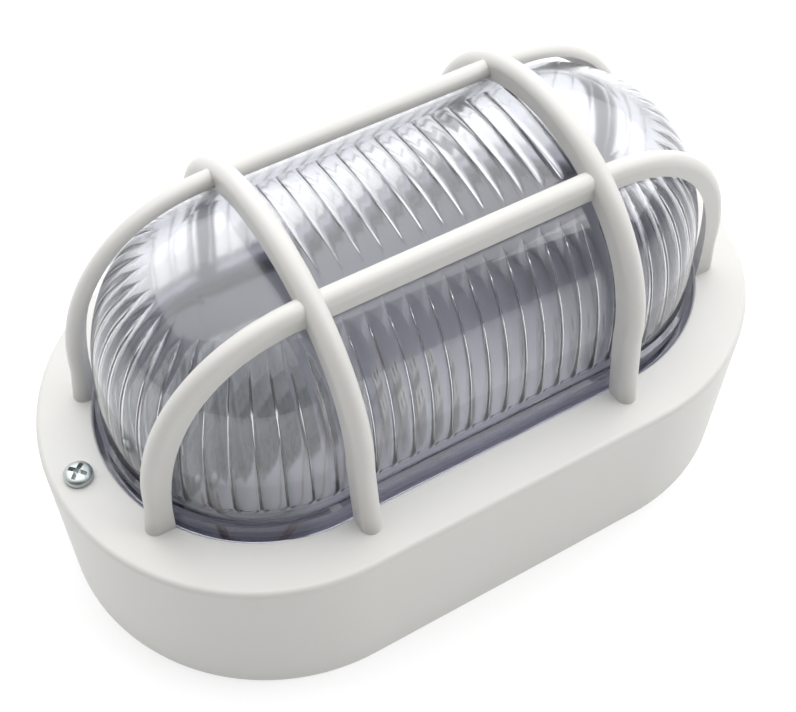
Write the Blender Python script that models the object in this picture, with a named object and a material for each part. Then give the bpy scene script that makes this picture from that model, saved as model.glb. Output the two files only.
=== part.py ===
"""Oval bulkhead light: a deep moulded cover with a four-bar cage guard over a fluted clear lens.

Metres. The origin is the middle of the back face, X runs along the length and +Z points out of the
wall. Every oval in the model is an offset of one straight centre line, so one spine length and a
distance from it describe each outline.
"""

import math

import bmesh
import bpy
from mathutils import Vector

# Overall form of the moulded cover
BODY_LENGTH = 0.214
BODY_WIDTH = 0.124
FRONT_HEIGHT = 0.0525
SKIRT_WALL = 0.0024
FRONT_WALL = 0.0027
SKIRT_LIFT = 0.0008
FRONT_FILLET = 0.0018
FRONT_RIM_WIDTH = 0.0153
OPENING_FILLET = 0.0007

# Cage guard, moulded with the cover. Legs lean in from their feet on the front rim to the height
# where their shoulders begin.
BAR_WIDTH = 0.0057
BAR_DEPTH = 0.0068
BAR_SINK = 0.0013
BAR_INSET = 0.0003
GUARD_HEIGHT = 0.0710
CROSS_BEFORE_BEND = 0.0046
CROSS_FOOT_MARGIN = 0.0081
CROSS_LEAN = 0.00335
CROSS_LEG_HEIGHT = 0.0225
CROSS_POWER = 2.04
LONG_FROM_OPENING = 0.0229
LONG_BELOW_CROSS = 0.00745
LONG_FOOT_MARGIN = 0.0160
LONG_LEAN = 0.00135
LONG_LEG_HEIGHT = 0.0110
LONG_BEFORE_BEND = 0.0043
LONG_POWER = 2.17
CORE_BELOW_CROSS = 0.0068
CORE_POWER = 2.47

# Clear lens with outside flutes over its top and inside ribs down its walls
LENS_BELOW_CORE = 0.0033
LENS_FROM_OPENING = 0.0031
LENS_DOME_RISE = 0.0075
LENS_POWER = 2.72
LENS_WALL = 0.0020
FLANGE_LAP = 0.0035
FLANGE_THICKNESS = 0.0022
COLLAR_CLEARANCE = 0.0014
COLLAR_HEIGHT = 0.0047
COLLAR_STEP = 0.0007
FLUTE_CELLS = 16
FLUTES_EACH_WAY = 7
FLUTE_DEPTH = 0.0007
FLUTE_MARGIN = 0.0255
FLUTE_END = 0.0010
RIBS_PER_END = 20
RIB_DEPTH = 0.0010
RIB_FOOT_RISE = 0.0020
RIB_TOP_MARGIN = 0.0156

# Sealing ring between the lens flange and the base
GASKET_THICKNESS = 0.0020

# Back housing
BASE_FLOOR = 0.0025
BASE_CLEARANCE = 0.0005
RIM_INSIDE_FLANGE = 0.0004
RIM_WALL = 0.0026
FIXING_SLOT_WIDTH = 0.0048
FIXING_SLOT_LENGTH = 0.0105
FIXING_BEFORE_BEND = 0.0050
FIXING_FROM_RIM = 0.0172
FIXING_COLLAR_WALL = 0.0028
FIXING_COLLAR_HEIGHT = 0.0030
ENTRY_PAST_BEND = 0.0170
ENTRY_RADIUS = 0.0085

# Cable entry grommet
GROMMET_BORE = 0.0040
GROMMET_FLANGE = 0.0030
GROMMET_FLANGE_THICKNESS = 0.0022
GROMMET_CONE = 0.0090
GROMMET_WALL = 0.0022

# Cover screws
COVER_SCREW_MARGIN = 0.0077
COVER_SCREW_RADIUS = 0.0020
COVER_SCREW_HEAD = 0.0043
COVER_SCREW_HEAD_HEIGHT = 0.0026
COVER_SCREW_LENGTH = 0.0240
COVER_BOSS_RADIUS = 0.0047
COVER_BOSS_DROP = 0.0010
COVER_SCREW_TURNS = (20, 65)

# Lampholder, lying along the length at the left end
HOLDER_BELOW_FRONT = 0.0005
HOLDER_RADIUS = 0.0200
HOLDER_NECK_RADIUS = 0.0165
HOLDER_NECK_LENGTH = 0.0140
HOLDER_LENGTH = 0.0400
HOLDER_WALL = 0.0030
HOLDER_FLOOR = 0.0120
HOLDER_EDGE = 0.0012
SLEEVE_WALL = 0.0005
SLEEVE_FROM_FLOOR = 0.0045
SLEEVE_PLAIN = 0.0030
SLEEVE_MOUTH_SET = 0.0030
THREAD_PITCH = 0.0036
THREAD_DEPTH = 0.0007
CONTACT_THICKNESS = 0.0006
CONTACT_WIDTH = 0.0060
CONTACT_RISE = 0.0040
SIDE_CONTACT_OFFSET = 0.0095

# Holder bracket, folded from sheet
BRACKET_FROM_LENS = 0.0091
BRACKET_THICKNESS = 0.0012
BRACKET_WIDTH = 0.0240
BRACKET_FOOT = 0.0120
BRACKET_BEND = 0.0020
BRACKET_TOP_MARGIN = 0.0060
BRACKET_SCREW_Y = 0.0070
BRACKET_SCREW_BACK = 0.0075
BRACKET_BOSS_RADIUS = 0.0040
BRACKET_BOSS_HEIGHT = 0.0055
HOLDER_SCREW_Y = 0.0085

# Small screws of the bracket, the holder and the terminals
SMALL_SCREW_RADIUS = 0.0014
SMALL_SCREW_HEAD = 0.0028
SMALL_SCREW_HEAD_HEIGHT = 0.0018
SMALL_SCREW_LENGTH = 0.0058
HOLDER_TERMINAL_BACK = 0.0070

# Two-pole terminal block on a pad in the middle of the base
BLOCK_X = 0.0
BLOCK_Y = 0.0050
BLOCK_LENGTH = 0.0180
BLOCK_HEIGHT = 0.0120
BLOCK_POLE_PITCH = 0.0120
BLOCK_POLE_WIDTH = 0.0075
BLOCK_PAD_HEIGHT = 0.0030
BLOCK_PAD_MARGIN = 0.0010
BLOCK_TUBE_RADIUS = 0.0025
BLOCK_TUBE_WALL = 0.0009
BLOCK_TUBE_HEIGHT = 0.0045
BLOCK_TUBE_INSET = 0.0015
BLOCK_SCREW_SPACING = 0.0080
BLOCK_SCREW_RADIUS = 0.0011
BLOCK_SCREW_HEAD = 0.0017
BLOCK_FIXING_HEAD = 0.0021
BLOCK_BRIDGE_HEIGHT = 0.0060

# Shape of every pan head, as shares of its radius and of its height
PAN_RIM = 0.45
PAN_CROWN_RADIUS = 0.68
PAN_CROWN = 0.94
PAN_SLOT_DEPTH = 0.45
PAN_SLOT_WIDTH = 0.32
PAN_CROSS_DEPTH = 0.60
PAN_CROSS_ARM = 0.24
PAN_CROSS_FOOT = 0.42
PAN_CROSS_REACH = 0.78

# Wires between the terminal block and the holder. Each stop is the share of the way along to the
# holder's terminal, out to its flank, and up from the floor to the terminal.
WIRE_RADIUS = 0.0011
WIRE_CLEARANCE = 0.0005
WIRE_EXIT = 0.0060
WIRE_END_DROP = 0.0020
WIRE_SHARES = ((0.36, 0.22, 0.0), (0.65, 0.82, 0.0), (0.81, 1.12, 0.14), (0.98, 1.10, 0.50))

# Gap between pieces that rest on each other, and how far a cutting shape runs past what it opens
SEAT = 0.0003
OVERRUN = 0.0020

# How finely the rounds are divided
COVER_END_STEPS = 24
BASE_END_STEPS = 14
LENS_END_STEPS = 14
LENS_OUTSIDE_ROWS = 5
LENS_INSIDE_ROWS = 4
ARCH_STEPS = 10
BAR_ROUND_STEPS = 6
CORE_HALVINGS = 24
ROUND_STEPS = 18
SMALL_STEPS = 12
SCREW_STEPS = 8
THREAD_ROWS_PER_TURN = 3
BEND_STEPS = 4
WIRE_STEPS = 2
SMOOTH_ANGLE = 32

# Worked out from the driving dimensions. Every oval bends round the two ends of the spine.
SPINE = (BODY_LENGTH - BODY_WIDTH) / 2
SKIRT_INNER = BODY_WIDTH / 2 - SKIRT_WALL
OPENING_OFFSET = BODY_WIDTH / 2 - FRONT_RIM_WIDTH
PLATE_UNDERSIDE = FRONT_HEIGHT - FRONT_WALL
GUARD_TOP = FRONT_HEIGHT + GUARD_HEIGHT
CROSS_PLACE = SPINE - CROSS_BEFORE_BEND
CROSS_FOOT = BODY_WIDTH / 2 - CROSS_FOOT_MARGIN
CROSS_LEG = CROSS_FOOT - CROSS_LEAN
CROSS_LEG_TOP = FRONT_HEIGHT + CROSS_LEG_HEIGHT
LONG_PLACE = OPENING_OFFSET - LONG_FROM_OPENING
LONG_TOP = GUARD_TOP - LONG_BELOW_CROSS
LONG_FOOT = BODY_LENGTH / 2 - LONG_FOOT_MARGIN
LONG_LEG = LONG_FOOT - LONG_LEAN
LONG_LEG_TOP = FRONT_HEIGHT + LONG_LEG_HEIGHT
LONG_STRAIGHT = SPINE - LONG_BEFORE_BEND
CORE_TOP = GUARD_TOP - CORE_BELOW_CROSS
LENS_TOP = CORE_TOP - LENS_BELOW_CORE
LENS_RADIUS = OPENING_OFFSET - LENS_FROM_OPENING
LENS_DOME_FOOT = FRONT_HEIGHT + LENS_DOME_RISE
FLANGE_OFFSET = OPENING_OFFSET + FLANGE_LAP
COLLAR_OFFSET = OPENING_OFFSET - COLLAR_CLEARANCE
COLLAR_TOP = FRONT_HEIGHT + COLLAR_HEIGHT
FLUTE_REACH = LENS_RADIUS - FLUTE_MARGIN
RIB_FOOT = LENS_DOME_FOOT + RIB_FOOT_RISE
RIB_TOP_REACH = LENS_RADIUS - RIB_TOP_MARGIN
FLANGE_TOP = PLATE_UNDERSIDE - SEAT
FLANGE_BOTTOM = FLANGE_TOP - FLANGE_THICKNESS
GASKET_TOP = FLANGE_BOTTOM - SEAT
GASKET_BOTTOM = GASKET_TOP - GASKET_THICKNESS
RIM_TOP = GASKET_BOTTOM - SEAT
RIM_OUTER = FLANGE_OFFSET - RIM_INSIDE_FLANGE
RIM_INNER = RIM_OUTER - RIM_WALL
FIXING_SLOT_X = SPINE - FIXING_BEFORE_BEND
FIXING_SLOT_Y = RIM_INNER - FIXING_FROM_RIM
ENTRY_X = SPINE + ENTRY_PAST_BEND
COVER_SCREW_X = BODY_LENGTH / 2 - COVER_SCREW_MARGIN
HOLDER_HEIGHT = FRONT_HEIGHT - HOLDER_BELOW_FRONT
BRACKET_FACE_X = BRACKET_FROM_LENS - (SPINE + LENS_RADIUS - LENS_WALL)
BRACKET_FOOT_BOTTOM = BASE_FLOOR + BRACKET_BOSS_HEIGHT + SEAT
BLOCK_BOTTOM = BASE_FLOOR + BLOCK_PAD_HEIGHT + SEAT
HOLDER_BACK_X = BRACKET_FACE_X + SEAT
SLEEVE_LENGTH = HOLDER_LENGTH - HOLDER_FLOOR - SLEEVE_FROM_FLOOR - SLEEVE_MOUTH_SET
THREAD_TURNS = int((SLEEVE_LENGTH - 2 * SLEEVE_PLAIN) / THREAD_PITCH)
SLEEVE_RADIUS = HOLDER_RADIUS - HOLDER_WALL - SEAT

PLASTIC = ("white_moulding", (0.83, 0.83, 0.81), 0.42, 0.0)
CLEAR = ("clear_polycarbonate", (0.86, 0.88, 0.93), 0.05, 0.0)
GREY_RUBBER = ("grey_seal_rubber", (0.10, 0.10, 0.12), 0.75, 0.0)
ZINC = ("zinc_plated_steel", (0.62, 0.66, 0.72), 0.28, 1.0)
BRASS = ("brass", (0.72, 0.53, 0.25), 0.32, 1.0)
PORCELAIN = ("holder_white_thermoset", (0.72, 0.71, 0.67), 0.35, 0.0)
BLOCK_PLASTIC = ("terminal_block_nylon", (0.70, 0.70, 0.66), 0.45, 0.0)
WIRE_BROWN = ("brown_wire_sleeving", (0.14, 0.06, 0.03), 0.55, 0.0)
WIRE_BLUE = ("blue_wire_sleeving", (0.03, 0.10, 0.32), 0.55, 0.0)


def clear_scene():
    for old in list(bpy.data.objects):
        bpy.data.objects.remove(old, do_unlink=True)


def material(finish):
    name, colour, roughness, metallic = finish
    made = bpy.data.materials.get(name)
    if made:
        return made
    made = bpy.data.materials.new(name)
    made.use_nodes = True
    shader = made.node_tree.nodes["Principled BSDF"]
    shader.inputs["Base Color"].default_value = (*colour, 1.0)
    shader.inputs["Roughness"].default_value = roughness
    shader.inputs["Metallic"].default_value = metallic
    if name == CLEAR[0]:
        shader.inputs["Transmission Weight"].default_value = 1.0
        shader.inputs["IOR"].default_value = 1.585
    return made


def as_object(bm, name, finish, location=(0, 0, 0), rotation=(0, 0, 0)):
    """Turns a closed bmesh into a named object, shaded smooth with its folds kept sharp."""
    bmesh.ops.recalc_face_normals(bm, faces=bm.faces)
    mesh = bpy.data.meshes.new(name)
    bm.to_mesh(mesh)
    bm.free()
    mesh.shade_smooth()
    mesh.set_sharp_from_angle(angle=math.radians(SMOOTH_ANGLE))
    mesh.materials.append(material(finish))
    return place(mesh, name, location, rotation)


def place(mesh, name, location=(0, 0, 0), rotation=(0, 0, 0)):
    obj = bpy.data.objects.new(name, mesh)
    obj.location = location
    obj.rotation_euler = rotation
    bpy.context.scene.collection.objects.link(obj)
    return obj


def boolean(target, other, operation):
    """Cuts or joins a helper shape, which stays in the file as an unrendered wire guide."""
    other.hide_render = True
    other.display_type = "WIRE"
    modifier = target.modifiers.new(f"{operation.lower()}_{other.name}", "BOOLEAN")
    modifier.operation = operation
    modifier.solver = "EXACT"
    modifier.object = other


def fixed_mesh(obj, name):
    """The object's mesh with its modifiers applied, so that copies can share it."""
    bpy.context.view_layer.update()
    graph = bpy.context.evaluated_depsgraph_get()
    mesh = bpy.data.meshes.new_from_object(obj.evaluated_get(graph))
    mesh.name = name
    for modifier in obj.modifiers:
        bpy.data.objects.remove(modifier.object, do_unlink=True)
    bpy.data.objects.remove(obj, do_unlink=True)
    return mesh


def oval(offset, height, end_steps, straight_steps=1):
    """An offset of the centre line, anticlockwise from the near end of the right-hand arc."""
    points = []
    for side in (1, -1):
        for step in range(end_steps):
            angle = -math.pi / 2 + math.pi * step / end_steps
            x = SPINE + offset * math.cos(angle)
            points.append(Vector((side * x, side * offset * math.sin(angle), height)))
        for step in range(straight_steps):
            x = SPINE - 2 * SPINE * step / straight_steps
            points.append(Vector((side * x, side * offset, height)))
    return points


def skin(bm, rings, wrap=False):
    """Joins neighbouring rings of points with quads, and the last to the first when wrap is set."""
    rows = [[bm.verts.new(point) for point in ring] for ring in rings]
    pairs = list(zip(rows, rows[1:]))
    if wrap:
        pairs.append((rows[-1], rows[0]))
    for low, high in pairs:
        for i in range(len(low)):
            j = (i + 1) % len(low)
            bm.faces.new((low[i], low[j], high[j], high[i]))
    return rows


def oval_ring(name, section, end_steps, finish):
    """Sweeps a closed section of (offset, height) points round the oval."""
    bm = bmesh.new()
    skin(bm, [oval(offset, height, end_steps) for offset, height in section], wrap=True)
    return as_object(bm, name, finish)


def turned(name, section, finish, location=(0, 0, 0), rotation=(0, 0, 0), steps=ROUND_STEPS):
    """Spins (radius, height) points round Z. A section that starts and ends on the axis is solid."""
    bm = bmesh.new()
    line = [bm.verts.new((radius, 0, height)) for radius, height in section]
    pairs = list(zip(line, line[1:]))
    if section[0][0] > 0:
        pairs.append((line[-1], line[0]))
    edges = [bm.edges.new(pair) for pair in pairs]
    bmesh.ops.spin(
        bm, geom=line + edges, cent=(0, 0, 0), axis=(0, 0, 1), angle=2 * math.pi, steps=steps
    )
    bmesh.ops.remove_doubles(bm, verts=bm.verts, dist=1e-6)
    return as_object(bm, name, finish, location, rotation)


def rod(name, radius, low, high, x=0.0, y=0.0, steps=SMALL_STEPS):
    """An upright cylinder between two heights, with plain flat ends."""
    bm = bmesh.new()
    bmesh.ops.create_cone(
        bm, cap_ends=True, cap_tris=False, segments=steps, radius1=radius, radius2=radius, depth=high - low
    )
    bmesh.ops.translate(bm, verts=bm.verts, vec=(0, 0, (low + high) / 2))
    return as_object(bm, name, PLASTIC, (x, y, 0))


def block(name, low, high, finish=PLASTIC):
    bm = bmesh.new()
    bmesh.ops.create_cube(bm, size=1.0)
    for vert in bm.verts:
        for axis in range(3):
            vert.co[axis] = high[axis] if vert.co[axis] > 0 else low[axis]
    return as_object(bm, name, finish)


def slot(name, x, y, length, width, low, high):
    """An upright slot with round ends, its long way along X."""
    bm = bmesh.new()
    half = (length - width) / 2
    rings = []
    for height in (low, high):
        ring = []
        for side in (1, -1):
            for step in range(SMALL_STEPS // 2 + 1):
                angle = -math.pi / 2 + math.pi * step / (SMALL_STEPS // 2)
                along = half + width / 2 * math.cos(angle)
                ring.append((x + side * along, y + side * width / 2 * math.sin(angle), height))
        rings.append(ring)
    rows = skin(bm, rings)
    bm.faces.new(rows[0])
    bm.faces.new(rows[-1])
    return as_object(bm, name, PLASTIC)


def arc(centre_a, centre_b, radius, start, end, steps):
    """Points of a round corner in a section, from one angle to another in degrees."""
    angles = [math.radians(start + (end - start) * i / steps) for i in range(steps + 1)]
    return [(centre_a + radius * math.cos(t), centre_b + radius * math.sin(t)) for t in angles]


def dome_offset(height, foot, top, radius, power):
    """Distance from the centre line of a superelliptic dome at this height."""
    rise = min(max((height - foot) / (top - foot), 0.0), 1.0)
    return radius * (1 - rise**power) ** (1 / power)


def dome_height(offset, foot, top, radius, power):
    reach = min(offset / radius, 1.0)
    return foot + (top - foot) * (1 - reach**power) ** (1 / power)


# Cover and cage


def cover_section():
    outer = BODY_WIDTH / 2
    return [
        (outer, SKIRT_LIFT),
        *arc(outer - FRONT_FILLET, FRONT_HEIGHT - FRONT_FILLET, FRONT_FILLET, 0, 90, 3),
        *arc(OPENING_OFFSET + OPENING_FILLET, FRONT_HEIGHT - OPENING_FILLET, OPENING_FILLET, 90, 180, 2),
        (OPENING_OFFSET, PLATE_UNDERSIDE),
        (SKIRT_INNER, PLATE_UNDERSIDE),
        (SKIRT_INNER, SKIRT_LIFT),
    ]


def arch_line(foot, leg, leg_top, straight, top, power):
    """Crown line of a hoop as (reach, height) points: leg, superelliptic shoulder, straight top."""
    lean = (foot - leg) / (leg_top - FRONT_HEIGHT)
    half = [(foot + lean * BAR_SINK, FRONT_HEIGHT - BAR_SINK)]
    for step in range(ARCH_STEPS + 1):
        angle = math.pi / 2 * step / ARCH_STEPS
        reach = straight + (leg - straight) * max(math.cos(angle), 0.0) ** (2 / power)
        half.append((reach, leg_top + (top - leg_top) * math.sin(angle) ** (2 / power)))
    other = [(-reach, height) for reach, height in reversed(half)]
    return half + (other if straight > 0 else other[1:])


def core_depth(along, aside, height, inward_along, inward_height):
    """How far inward from a crown point the bar meets the domed core that forms its inner face."""
    near, far = BAR_WIDTH / 2, BAR_DEPTH * 2
    for _ in range(CORE_HALVINGS):
        middle = (near + far) / 2
        x = abs(along + inward_along * middle)
        z = height + inward_height * middle
        offset = math.hypot(max(x - SPINE, 0.0), aside)
        radius = OPENING_OFFSET + BAR_INSET
        inside = z < CORE_TOP and offset < dome_offset(z, FRONT_HEIGHT, CORE_TOP, radius, CORE_POWER)
        near, far = (near, middle) if inside else (middle, far)
    return near


def bar_section(side_depths):
    """Half-round outer side and straight flanks, as (aside, depth below the crown) points."""
    half = BAR_WIDTH / 2
    points = [(half, side_depths[1])]
    for step in range(BAR_ROUND_STEPS + 1):
        angle = math.pi * step / BAR_ROUND_STEPS
        points.append((half * math.cos(angle), half - half * math.sin(angle)))
    points.append((-half, side_depths[0]))
    return points


def hoop(name, line, place_aside, lengthwise):
    """Sweeps the bar section along a crown line. Lengthwise hoops have a core-formed inner face."""
    bm = bmesh.new()
    rings = []
    for i, (reach, height) in enumerate(line):
        before = line[max(i - 1, 0)]
        after = line[min(i + 1, len(line) - 1)]
        run = math.hypot(after[0] - before[0], after[1] - before[1])
        inward = ((before[1] - after[1]) / run, (after[0] - before[0]) / run)
        depths = [BAR_DEPTH, BAR_DEPTH]
        if lengthwise:
            sides = [place_aside - BAR_WIDTH / 2, place_aside + BAR_WIDTH / 2]
            depths = [core_depth(reach, abs(side), height, *inward) for side in sides]
        ring = []
        for aside, depth in bar_section(depths):
            along = reach + inward[0] * depth
            across = place_aside + aside
            z = height + inward[1] * depth
            ring.append((along, across, z) if lengthwise else (across, along, z))
        rings.append(ring)
    rows = skin(bm, rings)
    bm.faces.new(rows[0])
    bm.faces.new(rows[-1])
    return as_object(bm, name, PLASTIC)


def make_guard_cover():
    cover = oval_ring("guard_cover", cover_section(), COVER_END_STEPS, PLASTIC)
    cross_line = arch_line(CROSS_FOOT, CROSS_LEG, CROSS_LEG_TOP, 0.0, GUARD_TOP, CROSS_POWER)
    long_line = arch_line(LONG_FOOT, LONG_LEG, LONG_LEG_TOP, LONG_STRAIGHT, LONG_TOP, LONG_POWER)
    for side in (-1, 1):
        boolean(cover, hoop(f"hoop_across_{side}", cross_line, side * CROSS_PLACE, False), "UNION")
        boolean(cover, hoop(f"hoop_along_{side}", long_line, side * LONG_PLACE, True), "UNION")
    for side in (-1, 1):
        hole = rod(
            f"cover_hole_{side}", COVER_SCREW_RADIUS + SEAT,
            PLATE_UNDERSIDE - OVERRUN, FRONT_HEIGHT + OVERRUN, side * COVER_SCREW_X,
        )
        boolean(cover, hole, "DIFFERENCE")


# Lens


def spine_points(height, steps, drop):
    """Points along the centre line from left to right, each lowered by drop(x)."""
    places = [-SPINE + 2 * SPINE * step / steps for step in range(steps + 1)]
    return [(x, 0.0, height - drop(x)) for x in places]


def close_on_spine(bm, ring, spine, end_steps):
    """Closes a dome: the straight sides meet along the centre line and each end at its pole."""
    line = [bm.verts.new(point) for point in spine]
    steps = len(line) - 1
    count = len(ring)
    for side, pole in ((0, line[-1]), (1, line[0])):
        start = side * (end_steps + steps)
        for i in range(start, start + end_steps):
            bm.faces.new((ring[i], ring[i + 1], pole))
        for step in range(steps):
            i = start + end_steps + step
            near, far = (steps - step, steps - step - 1) if side == 0 else (step, step + 1)
            bm.faces.new((ring[i], ring[(i + 1) % count], line[far], line[near]))


def flute_drop(x):
    """Depth of the grooves between the flutes: full on a groove, nothing midway between two."""
    pitch = 2 * SPINE / FLUTE_CELLS
    on_groove = abs(x / pitch - round(x / pitch)) < 0.01
    return FLUTE_DEPTH if on_groove and abs(round(x / pitch)) <= FLUTES_EACH_WAY else 0.0


def dome_ring(angle, top, radius, end_steps, steps):
    """One level of the lens dome, at this angle up from its foot."""
    offset = radius * math.cos(angle) ** (2 / LENS_POWER)
    height = LENS_DOME_FOOT + (top - LENS_DOME_FOOT) * math.sin(angle) ** (2 / LENS_POWER)
    return oval(offset, height, end_steps, steps)


def reach_angle(reach, radius):
    """Angle at which the lens dome has drawn in to this distance from its centre line."""
    return math.acos((reach / radius) ** (LENS_POWER / 2))


def lens_outside(bm):
    """Flange, plain collar and dome, with the fluted top."""
    steps = 2 * FLUTE_CELLS
    collar = [
        (FLANGE_OFFSET, FLANGE_BOTTOM),
        (FLANGE_OFFSET, FLANGE_TOP),
        (COLLAR_OFFSET, FLANGE_TOP),
        (COLLAR_OFFSET, COLLAR_TOP),
        (LENS_RADIUS + COLLAR_STEP / 2, COLLAR_TOP + COLLAR_STEP),
    ]
    rings = [oval(offset, height, LENS_END_STEPS, steps) for offset, height in collar]
    last = reach_angle(FLUTE_REACH + FLUTE_END, LENS_RADIUS)
    for row in range(LENS_OUTSIDE_ROWS + 1):
        angle = last * row / LENS_OUTSIDE_ROWS
        rings.append(dome_ring(angle, LENS_TOP, LENS_RADIUS, LENS_END_STEPS, steps))
    for offset in (FLUTE_REACH, FLUTE_REACH / 2):
        height = dome_height(offset, LENS_DOME_FOOT, LENS_TOP, LENS_RADIUS, LENS_POWER)
        ring = oval(offset, height, LENS_END_STEPS, steps)
        for point in ring:
            if abs(point.x) < SPINE:
                point.z -= flute_drop(point.x)
        rings.append(ring)
    last_row = skin(bm, rings)[-1]
    close_on_spine(bm, last_row, spine_points(LENS_TOP, steps, flute_drop), LENS_END_STEPS)


def lens_inside(bm):
    """The hollow, with ribs down its wall: one for each flute, and evenly spaced round the ends."""
    steps = 2 * FLUTE_CELLS
    end_steps = 2 * RIBS_PER_END
    radius = LENS_RADIUS - LENS_WALL
    top = LENS_TOP - FLUTE_DEPTH - LENS_WALL
    first = math.asin(((RIB_FOOT - LENS_DOME_FOOT) / (top - LENS_DOME_FOOT)) ** (LENS_POWER / 2))
    last = reach_angle(RIB_TOP_REACH, radius)
    rings = [oval(radius, FLANGE_BOTTOM, end_steps, steps)]
    for row in range(LENS_INSIDE_ROWS + 1):
        angle = first + (last - first) * row / LENS_INSIDE_ROWS
        ring = dome_ring(angle, top, radius, end_steps, steps)
        if row not in (0, LENS_INSIDE_ROWS):
            crests = dome_ring(angle, top - RIB_DEPTH, radius - RIB_DEPTH, end_steps, steps)
            ring[1::2] = crests[1::2]
        rings.append(ring)
    offset = RIB_TOP_REACH / 2
    height = dome_height(offset, LENS_DOME_FOOT, top, radius, LENS_POWER)
    rings.append(oval(offset, height, end_steps, steps))
    last_row = skin(bm, rings)[-1]
    close_on_spine(bm, last_row, spine_points(top, steps, lambda x: 0.0), end_steps)


def make_lens():
    bm = bmesh.new()
    lens_outside(bm)
    lens_inside(bm)
    rims = [edge for edge in bm.edges if edge.is_boundary]
    bmesh.ops.triangle_fill(bm, edges=rims, use_beauty=True)
    bmesh.ops.dissolve_limit(bm, angle_limit=math.radians(0.3), verts=bm.verts, edges=bm.edges)
    return as_object(bm, "lens", CLEAR)


def make_gasket():
    section = [
        (RIM_OUTER, GASKET_BOTTOM),
        (RIM_OUTER, GASKET_TOP),
        (RIM_INNER, GASKET_TOP),
        (RIM_INNER, GASKET_BOTTOM),
    ]
    oval_ring("lens_gasket", section, BASE_END_STEPS, GREY_RUBBER)


# Back housing


def base_shell():
    """Floor with the dish wall standing on it, inside the cover's skirt."""
    bm = bmesh.new()
    edge = SKIRT_INNER - BASE_CLEARANCE
    levels = [
        (edge, 0.0),
        (edge, BASE_FLOOR),
        (RIM_OUTER, BASE_FLOOR),
        (RIM_OUTER, RIM_TOP),
        (RIM_INNER, RIM_TOP),
        (RIM_INNER, BASE_FLOOR),
    ]
    rows = skin(bm, [oval(offset, height, BASE_END_STEPS) for offset, height in levels])
    bm.faces.new(rows[0])
    bm.faces.new(rows[-1])
    return as_object(bm, "base_housing", PLASTIC)


def make_base():
    base = base_shell()
    sink = BASE_FLOOR / 2
    boss_top = RIM_TOP - COVER_BOSS_DROP
    bracket_screw_x = BRACKET_FACE_X - BRACKET_SCREW_BACK
    for side in (-1, 1):
        x = side * COVER_SCREW_X
        boss = rod(f"cover_boss_{side}", COVER_BOSS_RADIUS, sink, boss_top, x, steps=ROUND_STEPS)
        boolean(base, boss, "UNION")
        wall_x = SPINE + (RIM_INNER + RIM_OUTER) / 2
        ends = sorted((side * wall_x, x))
        half = COVER_BOSS_RADIUS / 2
        web = block(f"boss_web_{side}", (ends[0], -half, sink), (ends[1], half, RIM_TOP - SKIRT_WALL))
        boolean(base, web, "UNION")
        foot_boss = rod(
            f"bracket_boss_{side}", BRACKET_BOSS_RADIUS, sink, BASE_FLOOR + BRACKET_BOSS_HEIGHT,
            bracket_screw_x, side * BRACKET_SCREW_Y,
        )
        boolean(base, foot_boss, "UNION")
        collar = slot(
            f"fixing_collar_{side}", side * FIXING_SLOT_X, -side * FIXING_SLOT_Y,
            FIXING_SLOT_LENGTH + 2 * FIXING_COLLAR_WALL, FIXING_SLOT_WIDTH + 2 * FIXING_COLLAR_WALL,
            sink, BASE_FLOOR + FIXING_COLLAR_HEIGHT,
        )
        boolean(base, collar, "UNION")
    half_x = BLOCK_LENGTH / 2 + BLOCK_PAD_MARGIN
    half_y = (BLOCK_POLE_PITCH + BLOCK_POLE_WIDTH) / 2 + BLOCK_PAD_MARGIN
    pad = block(
        "block_pad", (BLOCK_X - half_x, BLOCK_Y - half_y, sink),
        (BLOCK_X + half_x, BLOCK_Y + half_y, BASE_FLOOR + BLOCK_PAD_HEIGHT),
    )
    boolean(base, pad, "UNION")
    for side in (-1, 1):
        bore = rod(
            f"boss_bore_{side}", COVER_SCREW_RADIUS + SEAT,
            FRONT_HEIGHT - COVER_SCREW_LENGTH - OVERRUN, FRONT_HEIGHT, side * COVER_SCREW_X,
        )
        boolean(base, bore, "DIFFERENCE")
        foot_bore = rod(
            f"bracket_bore_{side}", SMALL_SCREW_RADIUS + SEAT, BASE_FLOOR,
            BASE_FLOOR + BRACKET_BOSS_HEIGHT + OVERRUN, bracket_screw_x, side * BRACKET_SCREW_Y,
        )
        boolean(base, foot_bore, "DIFFERENCE")
        fixing = slot(
            f"fixing_slot_{side}", side * FIXING_SLOT_X, -side * FIXING_SLOT_Y,
            FIXING_SLOT_LENGTH, FIXING_SLOT_WIDTH, -OVERRUN, BASE_FLOOR + FIXING_COLLAR_HEIGHT + OVERRUN,
        )
        boolean(base, fixing, "DIFFERENCE")
    block_bore = rod(
        "block_bore", SMALL_SCREW_RADIUS + SEAT, BASE_FLOOR / 2,
        BASE_FLOOR + BLOCK_PAD_HEIGHT + OVERRUN, BLOCK_X, BLOCK_Y,
    )
    boolean(base, block_bore, "DIFFERENCE")
    entry = rod("cable_entry", ENTRY_RADIUS, -OVERRUN, BASE_FLOOR + OVERRUN, ENTRY_X, steps=ROUND_STEPS)
    boolean(base, entry, "DIFFERENCE")


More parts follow.
